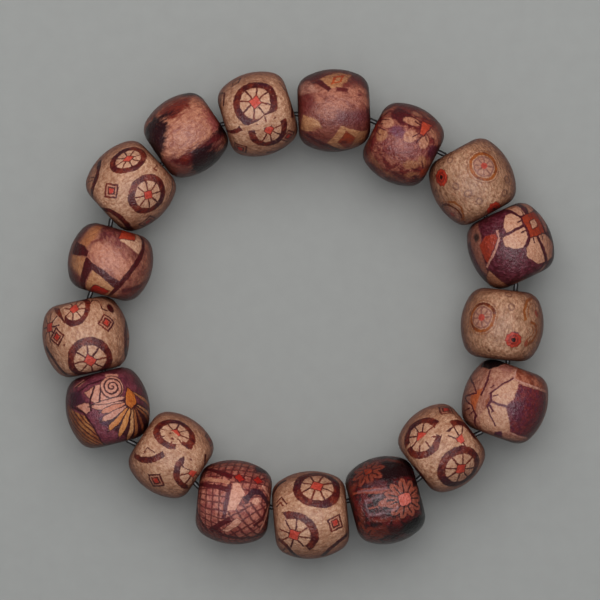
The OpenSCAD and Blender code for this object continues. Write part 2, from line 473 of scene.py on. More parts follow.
wheelCharts = {
    "wheel_bead_1": {
        "wheels": [(0.1, 1.75, -22, 1.04, 1.06), (0.8, -2.6, 0, 0.93, 1, 0.9), (-3, -9, 0, 1),
                   (3.4, -14, 0, 1), (-2.4, 9.4, 0, 1), (4, 12, 0, 1)],
        "bare": [[(-2.3, -1.3), (4, -1.2), (3.9, -1.5), (1, -2.1), (-2.3, -1.9)],
                 [(-1.1, -1.8), (0, -2), (0, -3.2), (-0.9, -3.6)]],
        "squares": [(-3.8, -4.0, -14, 1.0), (3.2, -4.3, 24, 0.95), (1.6, 8, 30, 1), (1, -9, 0, 1),
                    (-0.5, -14, 20, 1)],
        "lines": [([(-4.8, 3.8), (-4.3, 4.4), (-3.6, 4.2)], 0.13), ([(-3.7, 4.1), (-4.3, 2.6)], 0.17),
                  ([(-4.3, 3.9), (-4.9, 2.8)], 0.1), ([(-2.4, 4.8), (-2, 5.4), (-0.8, 5.6)], 0.1),
                  ([(-2.4, 4.85), (-1.3, 5.1), (-0.8, 5.6)], 0.1),
                  ([(4.2, 3.4), (4.6, 2.3), (5, 2.1)], 0.12),
                  ([(-4.9, -1.25), (-4, -1.45), (-2.9, -1.25)], 0.36), ([(4.9, -0.3), (4.5, -1.8)], 0.38),
                  # painted shadow: a dark line along the bead's lower edge
                  ([(-0.4, -5.6), (1.6, -5.7), (3, -5.5)], 0.2)],
    },
    "wheel_bead_2": {
        "wheels": [(-2.9, 0.7, -50, 0.95, 1, -0.6), (1.25, -3.05, 0, 1.03, 0.96), (6.6, 1.3, 0, 1),
                   (-3, -10, 0, 1), (3, -14, 0, 1), (-3, 12, 0, 1), (3.4, 10.4, 0, 1)],
        "bare": [[(-3, -1.5), (-0.9, -1.5), (-0.4, -2.4), (-1.3, -3), (-3, -3.2)],
                 [(3.1, -2.95), (4.7, -2.75), (4.9, -3.05), (3.3, -3.3)],
                 [(-0.2, -2.1), (2.2, -2.1), (2.1, -2.85), (-0.1, -2.85)],
                 [(-4.4, 0.3), (-3.4, 0.2), (-2.9, 2.8), (-4.4, 2.4)],
                 [(-2.5, 0.8), (-0.9, -0.6), (-0.9, 1.4), (-2.6, 2.4)]],
        "upper": [(-0.3, 4.05, 0, 1.07, 1.04)],
        "squares": [(-3.8, -4, -12, 1.02), (0, -8, 0, 1), (0.5, 14, 0, 1), (0, -12, 0, 1)],
    },
    "wheel_bead_3": {
        "wheels": [(2.5, 2.6, -60, 1.1, 1, -0.2), (-1.3, -4, 22, 1.12, 0.98), (4.6, 9, 0, 1),
                   (-4, 9.6, 0, 1), (4.4, -9, 0, 1), (-3.5, -13, 0, 1), (2.6, -16, 0, 1), (0, 14, 0, 1)],
        "squares": [(-3.4, 1.45, 14, 1.02), (0.6, 8, 0, 1), (1.6, -9, 0, 1), (-3, 12, 0, 1)],
        "lines": [([(-4.9, 3.4), (-3.7, 4), (-2.4, 4.9), (-1.2, 5.9)], 0.4),
                  ([(2, 5.9), (2.9, 5.2), (3.8, 3.9), (4.7, 3.1)], 0.38),
                  ([(3.5, 5.1), (4.7, 4.9)], 0.1), ([(4, 4.2), (4.5, 4.6)], 0.1),
                  ([(3.15, -1.8), (3.85, -2.8), (4.6, -2.1)], 0.12),
                  ([(3.7, -1.6), (3.95, -2.15), (4.7, -1.5)], 0.12),
                  ([(3.1, -5.2), (4, -4.7), (5, -3.9)], 0.36)],
    },
    "wheel_bead_4": {
        "wheels": [(-4, 0.4, 132, 0.95, 1, -1.15), (1.15, -2.9, 10, 1, 0.8), (-2, 9, 0, 1), (4, 11, 0, 1),
                   (-3.6, -11, 0, 1), (3, -14, 0, 1)],
        "bare": [[(-2.4, -1.2), (-0.3, -0.6), (0.1, -1.5), (-0.3, -2), (-2.4, -2)],
                 [(0.2, -1.7), (2, -1.5), (2.6, -2.5), (1.4, -3), (0.1, -2.6)],
                 [(-4.9, -0.2), (-2.7, 0.4), (-2, -0.9), (-2.6, -2), (-4.9, -2)]],
        "squares": [(-0.2, 4.25, 45, 1.06), (-3.4, -4.8, -8, 0.9), (0, -9, 0, 1), (1, 13, 0, 1)],
        "lines": [([(4.2, 2.95), (3, 2.9), (2, 2.2), (1.3, 1.2), (1, 0.6)], 0.44),
                  ([(2.1, 1.1), (3.4, 0.9), (3.3, 2)], 0.08), ([(-1.9, -2.4), (-0.5, -2.3)], 0.32),
                  ([(-4.8, -1.6), (-4.1, -2.7)], 0.26), ([(4.9, 2.9), (5, 1)], 0.14),
                  ([(-4.8, 4.3), (-3.4, 5.1), (-1.6, 5.6)], 0.16),
                  ([(1.2, 5.6), (3, 5.2), (4.5, 4.6)], 0.16)],
        "spots": [(brownInk, 1.05, -2, 0.24, 0.2, 0), (brownInk, 1.75, -2.5, 0.2, 0.14, 30),
                  (brownInk, -2.6, -1, 0.2, 0.12, 0), (brownInk, 0.3, -2.4, 0.12, 0.12, 0)],
    },
    "wheel_bead_5": {
        "wheels": [(-3.4, 0.1, 0, 1.08), (4.2, 0.75, -15, 0.86, 0.86, 1.75), (2.3, 4.75, 45, 0.95, 1, -2.2),
                   (-3.4, 10, 0, 1), (-1.6, -6.1, 0, 1), (3.6, 12, 0, 1), (-4, 15, 0, 1), (3.5, -12, 0, 1),
                   (-3.6, -15, 0, 1)],
        "squares": [(0.8, 4.05, 45, 1), (1.3, -3.3, 42, 1.04), (0.5, 11, 0, 1), (1, -12, 0, 1)],
        "lines": [([(-5.2, 3.7), (-3.6, 4.5), (-2, 5.2), (-0.4, 5.8)], 0.38),
                  ([(4.2, -1.4), (4.85, -2.1), (4.6, -2.7), (3.5, -3), (3, -3.7)], 0.1)],
        "spots": [(maroon, 3.2, -4.25, 0.7, 0.65, 0),
                  (brownInk, -4.4, -3.6, 0.2, 0.12, 30), (brownInk, -4.5, -4.1, 0.2, 0.14, 0),
                  (brownInk, -1, -4.5, 0.14, 0.1, 0), (brownInk, -0.5, 3.2, 0.14, 0.12, 0)],
    },
    "wheel_bead_6": {
        "wheels": [(0.95, -2.6, 10, 0.95, 0.98), (2.3, 3.1, -12, 0.9, 0.74), (-3.6, 9, 0, 1),
                   (4.6, -10, 0, 1), (3.6, 11, 0, 1), (-3, -11, 0, 1), (1, -15, 0, 1)],
        "squares": [(-2.45, 1.4, 38, 1.02), (-1.7, -5.4, 10, 1.15), (0.4, 9, 0, 1), (0, -10.5, 0, 1)],
        "lines": [([(-5.3, 3), (-4, 3.5), (-2.6, 4.2), (-1.4, 5.1), (-0.8, 5.6)], 0.42),
                  ([(-4.7, 4.4), (-3.4, 4.2)], 0.08), ([(-3.5, 4.8), (-2.9, 4.4)], 0.08),
                  ([(-5.3, 0.9), (-4.5, -0.5), (-4.1, -2), (-4.05, -3.4), (-4.3, -4.6)], 0.46),
                  ([(4.9, -3.6), (3.6, -4.5), (3, -4.8)], 0.14),
                  ([(4.1, -0.9), (4.1, -0.4), (4.7, -0.3)], 0.09)],
    },
}


def bandedPrintOne(name, section):
    paint = Paint(name, section)
    brown = shade(138, 74, 60)
    gold = shade(176, 112, 90)
    deep = shade(84, 22, 26)
    paint.colour = mottled(paint, brown, shade(110, 48, 44), 0.7)
    paint.patch(gold, [(-3.4, 3.4), (5.4, 2.9), (5.4, 0.4), (0.5, 0.2), (-2.6, 1)], 0.7)
    paint.patch(pink, [(-5.2, 4.1), (-3.4, 4.3), (-2.2, 2.8), (-4.8, 2.2)], 0.3, worn=0.6)
    paint.spot(shade(106, 34, 30), -4.2, 1, 1.7, 1.5, 0, 0.8)
    paint.spot(gold, -1.2, -0.3, 1.7, 0.9, 0, 0.8, 0.8)
    paint.streaks(shade(124, 58, 50), -24, 0.75)
    paint.streaks(shade(98, 32, 34), 14, 0.45, 1.6)
    paint.patch(shade(104, 44, 48), [(0.6, -0.3), (5.4, 0), (5.4, -3.2), (1.2, -2), (-0.6, -1.9)], 0.7,
                0.85, worn=0.6)
    paint.patch(tan, [(-4.4, -0.4), (-2.3, -1.2), (-1.7, -2.6), (-4.9, -2.7)], 0.14, worn=0.6)
    paint.spot(shade(134, 70, 56), -1.6, -2.9, 1.5, 0.6, -10, 0.4)
    paint.line(shade(112, 48, 38), [(-4.9, -2.8), (-3.2, -3.4), (-1.6, -3.7), (-0.6, -4)], 0.2, 0.2, 0.8)
    paint.patch(tan, [(0.9, -2.1), (4.7, -3), (3.6, -5.2), (-1.2, -4.6)], 0.1)
    paint.patch(shade(150, 58, 26), [(0.5, -4.5), (1.6, -3.1), (2.8, -3.9), (1.9, -5.3)], 0.08, edge=0.14,
                ink=shade(138, 62, 36))
    paint.spot(shade(112, 34, 16), 1.3, -4.5, 0.55, 0.4, 0, 0.2)
    paint.line(deep, [(-3.9, -3.3), (-2.2, -4.4), (-0.8, -5.1), (0.9, -5.6), (3.4, -5.4)], 0.34, 0.12)
    paint.patch(shade(96, 38, 40), [(-4.6, 4.2), (-3.2, 4.3), (-1.9, 4.4), (-1.4, 5.7), (-4.2, 5.6)], 0.3)
    paint.patch(tan, [(-1.9, 4.5), (0.6, 5.3), (2.6, 4.9), (1.6, 3.4), (-0.5, 3.2)], 0.12)
    paint.line(deep, [(-2.2, 4.2), (-0.6, 3)], 0.36, 0.12)
    paint.line(shade(98, 28, 28), [(0.5, 3.1), (1.9, 2.8)], 0.36, 0.15)
    paint.spot(shade(120, 50, 42), 1.8, 3.6, 0.6, 0.5, 30, 0.25)
    paint.patch(orangeInk, [(-0.4, 3.7), (0.2, 4.8), (1.8, 5), (1.2, 4.1)], 0.06)
    paint.patch(tan, [(0.1, 4), (0.5, 4.6), (1.3, 4.7), (0.9, 4.2)], 0.06)
    paint.patch(shade(104, 44, 46), [(2.6, 5.6), (2.6, 4.2), (5.2, 2.6), (5.4, 4)], 0.25)
    paint.spot(shade(110, 44, 40), 3.7, 2.1, 0.5, 0.25, 0, 0.2)
    for across in (8, -9.5, 13, -14):
        paint.patch(gold, [(-5, across), (5, across + 0.8), (5, across + 2.4), (-5, across + 1.8)], 0.5)
        paint.line(deep, [(-5, across - 0.4), (5, across - 0.2)], 0.34)
        paint.patch(orangeInk, [(0, across + 2.2), (1.4, across + 2.6), (1, across + 3.8),
                                (-0.6, across + 3.4)])
    return paint.finish(0.5)


def bandedPrintTwo(name, section):
    paint = Paint(name, section)
    dark = shade(76, 8, 14)
    deep = shade(92, 32, 38)
    gold = shade(184, 120, 96)
    coral = shade(172, 58, 32)
    paint.colour = mottled(paint, shade(164, 106, 84), shade(138, 78, 66), 0.7)
    paint.patch(gold, [(-0.5, 3.3), (1.6, 3.2), (3.4, 1), (2, -3.6), (-2.4, -2.4)], 0.2, worn=0.4)
    paint.patch(deep, [(2.4, 2.4), (5.4, 3.4), (5.4, -0.4), (3.2, -0.9)], 0.9)
    paint.patch(shade(104, 34, 38), [(2.6, 2.6), (3.8, 0), (2.2, -3.9), (0.4, -3.1), (2, 0)], 0.9, 0.9,
                worn=0.4)
    paint.patch(dark, [(2.9, -1.4), (2, -3.8), (0.6, -3.3), (1.8, -2.4)], 0.5, 0.7)
    paint.streaks(shade(134, 66, 58), 58, 0.7)
    paint.streaks(shade(214, 156, 124), 30, 0.25, 1.7)
    paint.patch(shade(182, 118, 76), [(1, 4), (1.4, 4.9), (4.4, 3.6), (4.4, 2.7), (2.6, 3)], 0.4)
    paint.patch(shade(112, 50, 48), [(1.3, 5.2), (4.8, 3.7), (5.3, 4.6), (2, 5.9)], 0.3)
    paint.line(shade(128, 60, 52), [(1.9, 3.4), (2.7, 2)], 0.14, 0.15)
    paint.patch(tan, [(-3, 3.5), (-0.4, 3.4), (-0.3, 5.4), (-2.2, 5.5)], 0.2)
    paint.patch(shade(108, 50, 46), [(-5.1, 3), (-3.2, 3.4), (-2, 5.6), (-4.6, 5.4)], 0.7)
    paint.patch(dark, [(-4.9, 3.3), (-0.1, 3.5), (-0.7, 2.6), (-1.7, 2.2), (-4.8, 3)])
    paint.patch(dark, [(-0.4, 5.6), (1.4, 5.4), (1.3, 4.3), (0.6, 3.5), (-0.2, 3.4)])
    paint.patch(tan, [(-4.9, 2.8), (-1.8, 2.1), (-3.2, -1.6), (-5.3, -1)], worn=0.1)
    paint.patch(dark, [(-1.7, 2.4), (-0.5, 3.2), (-2.3, -2.2), (-3.4, -1.8)])
    paint.patch(shade(164, 26, 8), [(-5, 2.5), (-3.7, 1.3), (-3.9, -1), (-5.2, 0)], 0.06, edge=0.12)
    paint.patch(cream, [(3.3, -0.5), (5.3, -0.2), (5.2, -3.6), (2.1, -3.6)], 0.1)
    paint.patch(coral, [(3.6, -0.2), (4.9, -0.4), (5, -2.8), (3.8, -2.4)], 0.06, edge=0.11)
    paint.patch(shade(124, 62, 54), [(-5.2, -2.4), (-2.6, -2.8), (-2.2, -5), (-4.6, -5.2)], 0.5)
    paint.line(shade(98, 38, 38), [(-3.4, -2.8), (-2.8, -4), (-1.9, -5.2)], 0.36, 0.2)
    paint.line(dark, [(-5.4, -1.1), (-3, -1.9), (0, -3.3), (3, -3.95), (5.2, -3.7)], 0.36)
    for across in (8, -9.5, 13, -14):
        paint.patch(deep, [(-1, across), (5, across + 0.4), (5, across + 2.4), (1, across + 2.8)], 0.8)
        paint.line(dark, [(-5, across), (5, across + 0.6)], 0.36)
        paint.patch(coral, [(-3.4, across + 1.4), (-2, across + 1), (-1.8, across + 3),
                            (-3.4, across + 3.4)], edge=0.12)
    return paint.finish(0.5)


def shadedPrint(name, section):
    paint = Paint(name, section)
    fibre = paint.cloud(1, detail=5, vector=paint.vec("MULTIPLY", paint.solid, (0.7, 2.2, 2.2)), rough=0.7)
    paint.colour = paint.mix(paint.smooth(fibre, 0.35, 0.7), shade(188, 126, 98), shade(148, 80, 64))
    dark = shade(44, 4, 14)
    rust = shade(122, 40, 26)
    paint.ragged = paint.calc("MULTIPLY", paint.calc("SUBTRACT", fibre, 0.5), 2.4)
    paint.patch(shade(130, 70, 60), [(-5.4, -0.6), (-3, -1.4), (-1.6, -3), (-2, -5.6), (-4.8, -5.6)],
                0.6, worn=0.4)
    paint.patch(shade(142, 82, 66), [(-3.4, 4.4), (3.6, 4.2), (2.6, 5.6), (-2.6, 5.6)], 0.4)
    paint.patch(rust, [(-2, 4.6), (3.6, 4.3), (2.6, 3.1), (-0.4, 2.9)], 0.5, worn=0.5)
    paint.spot(dark, -0.6, 3.9, 1.1, 0.45, -10, 0.4)
    paint.patch(dark, [(-5.4, 3.8), (-2.2, 4.7), (-1.1, 2.9), (-2, 1.9), (-4.4, -0.6), (-5.4, -1.6)],
                0.6, worn=0.3)
    paint.patch(shade(66, 20, 26), [(2.6, 4.9), (5.2, 3.4), (5.4, 4.8), (3, 5.8)], 0.4)
    paint.patch(shade(148, 72, 68), [(4.2, 1.6), (5.6, 1.4), (5.6, -2), (3.2, -2.2)], 0.7)
    paint.patch(shade(92, 14, 20), [(-3.9, -1.7), (1, -2.1), (5.4, -1.9), (5.2, -3.4), (1, -4.4),
                                    (-2.4, -3.8)], 0.4, worn=0.5)
    paint.patch(dark, [(-1.4, -3), (0.2, -2.2), (2.4, -3), (2.4, -5.4), (-1.6, -5.5), (-2.2, -4.6)],
                0.5, worn=0.2)
    paint.patch(dark, [(3.4, -2), (5.4, -1.4), (5.4, -3.6), (4.2, -3)], 0.4)
    paint.patch(dark, [(1.6, -4.4), (5.2, -4), (4.4, -5.8), (1.6, -5.8)], 0.5, 0.8)
    paint.spot(shade(118, 30, 14), -2, -2.7, 0.7, 0.5, 0, 0.4)
    paint.spot(shade(148, 84, 72), 3.5, -3.4, 1, 0.35, -10, 0.4)
    for across in (8, -10, 13):
        paint.patch(dark, [(-5, across), (2, across - 0.6), (4, across + 1.2), (-3, across + 2.2)], 0.8)
    return paint.finish(0.6)


def drawFlowers(paint, rows, count, petal, hub, ink, length=1.1, width=0.55, middle=1.75, stamen=0.08,
                core=0.8):
    # petals round a centre; each row is a flower
    x, y, cut = paint.split(paint.nearest(rows))
    far, turned = polar(paint, x, y)
    folded = paint.calc("WRAP", turned, math.pi / count, -math.pi / count)
    out = paint.calc("MULTIPLY", far, paint.calc("COSINE", folded))
    side = paint.calc("MULTIPLY", far, paint.calc("SINE", folded))
    leaf = paint.far(paint.join(paint.calc("DIVIDE", paint.calc("SUBTRACT", out, middle), length),
                                paint.calc("DIVIDE", side, width), 0))
    leaf = paint.calc("MULTIPLY", paint.calc("SUBTRACT", 1, leaf), width)
    keep = paint.calc("SUBTRACT", cut, y)
    paint.coat(ink, paint.least(paint.calc("ADD", leaf, 0.12), keep), 0.1, 0.8)
    paint.coat(petal, paint.least(leaf, keep))
    line = paint.least(paint.band(side, 0, stamen), paint.band(out, middle * 0.8, middle * 0.42), keep)
    paint.coat(ink, line)
    square = paint.most(paint.calc("ABSOLUTE", x), paint.calc("ABSOLUTE", y))
    square = paint.calc("MULTIPLY_ADD", far, 0.5, paint.calc("MULTIPLY", square, 0.5))
    paint.coat(ink, paint.least(paint.calc("SUBTRACT", core + 0.12, square), keep), 0.1)
    paint.coat(hub, paint.least(paint.calc("SUBTRACT", core, square), keep))


def blossomPrint(name, section):
    paint = Paint(name, section)
    red = shade(126, 48, 40)
    paint.colour = mottled(paint, mottled(paint, red, shade(96, 18, 24), 1.1), shade(166, 100, 80), 0.8,
                           0.48, 0.6)
    petal = shade(184, 126, 98)
    sand = shade(166, 108, 74)
    ember = shade(196, 70, 40)
    dark = shade(80, 10, 22)
    # painted highlight: a paler soft oval at the bead's top, where the varnish catches the light
    paint.spot(shade(158, 88, 80), 0.4, -0.4, 2.6, 1.3, 10, 0.9, 0.55)
    paint.streaks(shade(100, 28, 28), 30, 0.5, 2.2)
    paint.patch(dark, [(-3.6, 2.6), (-1.2, 2.4), (-0.9, 4.2), (-3.2, 4.4)], 0.3)
    paint.patch(shade(110, 42, 44), [(-4.4, 3.9), (-0.4, 4.4), (0.4, 5.6), (-3.6, 5.6)], 0.3, 0.8)
    paint.spot(shade(112, 56, 74), -1.6, 1.3, 1.2, 0.85, 0, 0.35)
    paint.spot(shade(82, 24, 44), 4.3, 1, 1.15, 1.05, 0, 0.3)
    paint.patch(shade(148, 84, 66), [(2.6, 3), (5, 2.6), (4.6, 4.6), (2.8, 5)], 0.4, 0.7)
    for row in ((petal, -0.5, 3.5, 1.25, 0.66, 8, 0.12), (petal, 0.3, 1.5, 0.85, 1, -40, 0.14),
                (petal, 2.4, 1.7, 0.75, 1, 20, 0.16), (petal, 3, 3.3, 0.8, 0.5, -10, 0.2, 0.7),
                (petal, -0.2, 4.7, 0.8, 0.4, 0, 0.16, 0.8), (petal, -3.5, 1.8, 0.95, 0.75, -15, 0.14),
                (sand, -3.4, -0.2, 0.85, 0.95, 10, 0.2), (petal, -4.5, 2.9, 0.4, 0.7, 0, 0.15),
                (sand, 2.2, -2.1, 1.1, 0.75, 25, 0.25), (sand, 3.4, -0.9, 0.85, 0.6, -40, 0.2),
                (sand, 2.9, -3.4, 0.9, 0.5, 30, 0.25), (sand, -2.4, -4.1, 1.5, 0.5, -15, 0.3, 0.8),
                (sand, 0.2, -4.8, 1.1, 0.4, 0, 0.3, 0.7)):
        paint.spot(*row)
    for places in ([(0.9, 4), (-0.9, 4.1)], [(0.9, 3.6), (-0.1, 3.7)], [(0.9, 3), (-0.7, 2.8)],
                   [(1.75, 2.3), (1.5, 1)], [(1.2, 2.4), (0.6, 1.6)], [(2, 2.6), (2.6, 2)],
                   [(-4.7, 1.6), (-3.4, 2.2)], [(-4.6, 1), (-3.9, 1.3)], [(-4.6, 0.6), (-3.1, 0.7)],
                   [(-4.6, 0.2), (-3.5, -0.3)], [(-4.7, 2.2), (-4.1, 2.9)],
                   [(3.9, -1.7), (3.3, -0.9)], [(3.8, -2.2), (2.6, -2.5)], [(4, -3), (3.2, -3.5)]):
        paint.line(dark, places, 0.1, 0.1)
    paint.patch(ember, [(0.9, 4.2), (2.3, 4.2), (1.9, 2.4), (1.3, 2.4)], 0.1, edge=0.14, ink=dark)
    paint.patch(shade(160, 52, 30), [(-5.6, 1.6), (-4.6, 1.4), (-4.4, -0.2), (-5.4, -0.6)], 0.15)
    paint.patch(shade(166, 62, 28), [(3.8, -2), (5.4, -1.2), (5.4, -3.4), (4.1, -3.2)], 0.15)
    paint.line(dark, [(3.5, -3.2), (4, -3.6)], 0.22, 0.15)
    paint.spot(shade(92, 26, 24), 0.9, -4.1, 0.9, 0.4, 10, 0.3)
    paint.patch(shade(96, 34, 40), [(1, -4.7), (4.6, -4.2), (4, -5.8), (1, -5.8)], 0.35, 0.8)
    drawFlowers(paint, [(-3, 9, 0, 1), (3, 11, 30, 1), (-1, 15, 0, 1), (4, -10, 0, 1), (-3, -11, 20, 1)],
                7, petal, ember, dark)
    paint.streaks(shade(112, 40, 34), -40, 0.4, 3)
    return paint.finish(0.5)


def daisyPrint(name, section):
    paint = Paint(name, section)
    paint.colour = mottled(paint, shade(98, 12, 14), shade(38, 3, 9), 0.9, 0.44, 0.56)
    petal = shade(150, 74, 54)
    rusty = shade(132, 54, 34)
    paint.patch(shade(12, 2, 3), [(-5.2, 3.2), (-3.4, 3.6), (-1.6, 3.6), (-0.9, 5), (-3.6, 5.6),
                                  (-5.2, 4.4)], 0.4)
    paint.patch(shade(34, 4, 9), [(-4.8, -2.2), (-1, -2.4), (0.2, -3), (-0.6, -4.6), (-4.2, -5)], 0.35)
    paint.spot(shade(62, 10, 12), 0.4, 4.4, 1.4, 0.8, 0, 0.4)
    for row in ((1.3, 2.6, 1.5, 0.3, -8), (-2.4, -5.2, 1.2, 0.4, -12), (4.1, -2.9, 0.9, 0.5, 10),
                (3.9, 1.4, 0.5, 1.3, 0), (-1.4, 2.9, 0.9, 0.35, 20)):
        paint.spot(rusty, *row, 0.3, 0.7)
    drawFlowers(paint, [(4, 4.3, 10, 1), (1.4, -4.6, 0, 0.95), (-3.4, -6.4, 30, 0.9), (-4, 10, 0, 0.9),
                        (3, 11, 20, 0.9), (-3, -11, 0, 0.9), (3, -13, 0, 0.9)],
                8, rusty, shade(150, 50, 22), shade(66, 12, 12), 1, 0.6, 1.7, 0.12, 0.6)
    paint.patch(shade(118, 44, 28), [(0.6, 4.8), (2.6, 4.8), (2.8, 3.3), (1, 3.2)], 0.3, 0.6, worn=0.5)
    for places, half in (([(-1, -1.15), (1, -1.4), (4.2, -2.1)], 0.2), ([(0, -1.7), (3, -2.3)], 0.1),
                         ([(1.2, 0.7), (2.6, 0.6)], 0.12)):
        paint.line(shade(146, 62, 38), places, half, 0.1)
    paint.patch(shade(76, 44, 52), [(-0.6, -2.1), (2.6, -2.3), (2.2, -3), (-0.4, -2.9)], 0.2, 0.7)
    drawFlowers(paint, [(-2.65, 0.55, 4, 1)], 11, petal, shade(202, 96, 80), shade(46, 6, 12),
                1, 0.55, 1.95, 0.11, 0.92)
    paint.spot(petal, 0.1, 0.35, 1.05, 0.55, 0, 0.1)
    paint.line(shade(46, 6, 12), [(-1.2, 0.3), (-0.1, 0.2)], 0.12)
    # painted reflection: thin pale lilac strokes outline the reflection of a lamp in the varnish
    pale = shade(150, 116, 124)
    for places in ([(-1.4, 1.4), (0.4, 1.75), (2.7, 1.5)], [(2.7, 1.6), (2.9, 0.3), (2.7, -0.6)],
                   [(2.8, -0.6), (0.4, -0.8)], [(-0.6, -1.5), (1.4, -1.8), (3.4, -2.1)]):
        paint.line(pale, places, 0.16, 0.2, 0.5)
    return paint.finish(0.7, 1.2)


def drawRosettes(paint, rows):
    x, y, cut = paint.split(paint.nearest(rows))
    far, turned = polar(paint, x, y)
    keep = paint.calc("SUBTRACT", cut, y)
    spoke = eightSpokes(paint, far, turned, 1.4)
    dim = shade(132, 84, 76)
    paint.coat(shade(180, 130, 112), paint.least(paint.calc("SUBTRACT", 1.6, far), keep), strength=0.6)
    paint.coat(dim, paint.least(paint.most(spoke, paint.band(far, 1.5, 0.12)), keep), strength=0.85)
    golden = paint.mix(paint.smooth(paint.cloud(0.5), 0.42, 0.6), shade(152, 78, 20), shade(98, 38, 18))
    paint.coat(golden, paint.least(paint.band(far, 1.98, 0.22), keep))
    outer = paint.mix(paint.smooth(paint.cloud(0.4), 0.42, 0.6), shade(120, 72, 60), shade(150, 86, 34))
    paint.coat(outer, paint.least(paint.band(far, 2.48, 0.1), keep), strength=0.6)
    paint.coat(shade(176, 66, 52), paint.least(paint.calc("SUBTRACT", 0.48, far), keep))


def drawDots(paint, rows):
    x, y = paint.split(paint.nearest(rows))[:2]
    far, turned = polar(paint, x, y)
    edge = paint.calc("MULTIPLY_ADD", paint.calc("COSINE", paint.calc("MULTIPLY", turned, 9)), 0.05, 1.1)
    paint.coat(shade(112, 26, 14), paint.calc("SUBTRACT", paint.calc("ADD", edge, 0.08), far))
    paint.coat(shade(176, 50, 26), paint.calc("SUBTRACT", edge, far))
    paint.coat(shade(120, 26, 14), paint.band(far, 0.6, 0.12), 0.1, 0.8)
    paint.coat(shade(34, 8, 8), paint.calc("SUBTRACT", 0.32, far))


def drawCircles(paint, rows):
    far = paint.far(paint.nearest(rows))
    paint.coat(shade(116, 74, 62), paint.band(far, 0.45, 0.12), 0.1, 0.75)


def rosettePrint(name, section):
    chart = rosetteCharts[name]
    paint = Paint(name, section)
    paint.colour = groundWood(paint, shade(194, 150, 120), shade(142, 100, 72))
    drawCircles(paint, chart["circles"])
    drawRosettes(paint, chart["rosettes"])
    drawDots(paint, chart["dots"])
    drawMarks(paint, chart, shade(146, 80, 30), 0.1, 0.12)
    return paint.finish(0.45)


rosetteCharts = {
    "rosette_bead_1": {
        "rosettes": [(-1.15, 2.5, 10, 0.98), (2.6, -4.8, 0, 0.84), (-4, 9, 0, 1), (3.4, 9, 0, 1),
                     (-4, -9, 0, 1), (2, -13, 0, 1)],
        "circles": [(3.55, 3.2), (2.1, 4.45), (0.9, 5.35), (-4.2, -1.3), (2.9, -0.5), (1.2, -1.4),
                    (-0.6, -2.4), (-1, -5.3), (-3.6, 6), (0, 8), (0, -8), (-2, 12), (4, -8)],
        "dots": [(-2.6, -3.6), (4.85, 0.9), (0.6, 11), (-1, -11)],
        "lines": [([(0.9, -4.4), (1.3, -3.6), (2.4, -3.2), (3.6, -3.3), (4.3, -3.9)], 0.17)],
    },
    "rosette_bead_2": {
        "rosettes": [(-0.75, -3, 10, 0.98), (3.6, -9, 0, 1), (-3.6, -10, 0, 1), (3, 11, 0, 1),
                     (-3, 11, 0, 1)],
        "circles": [(-4.35, 0.5), (-2.65, 1.1), (3.6, -4.5), (-3.5, -4.7), (0, 7.4), (4, 7), (0, -8),
                    (0.5, -12)],
        "dots": [(1.95, 1.85), (-0.5, 9), (1, -10)],
        "lines": [([(-2.4, 5.2), (-3.8, 4.7), (-4.3, 3.9), (-3.7, 3.1), (-2.4, 2.95), (-1, 3.2)], 0.24),
                  ([(-3.2, 4.6), (-3.5, 3.9), (-2.9, 3.5), (-1.4, 3.6)], 0.07),
                  ([(-0.8, 4.1), (-0.4, 4.75), (0.8, 4.95), (1.7, 4.6), (2.5, 3.8)], 0.22),
                  ([(-0.4, 4.1), (0.3, 4.55), (1.2, 4.4), (1.8, 3.7)], 0.08)],
        "spots": [(shade(150, 62, 40), -2.1, 4.7, 0.55, 0.4, 10),
                  (shade(150, 70, 46), 2.2, 3.7, 0.5, 0.3, 0),
                  (shade(110, 50, 60), 0.85, 2.1, 0.14, 0.4, 0),
                  (shade(104, 56, 30), 3.7, -1.5, 0.25, 0.2, 0),
                  (shade(96, 40, 34), 4.8, -3.2, 0.25, 0.3, 0)],
    },
}


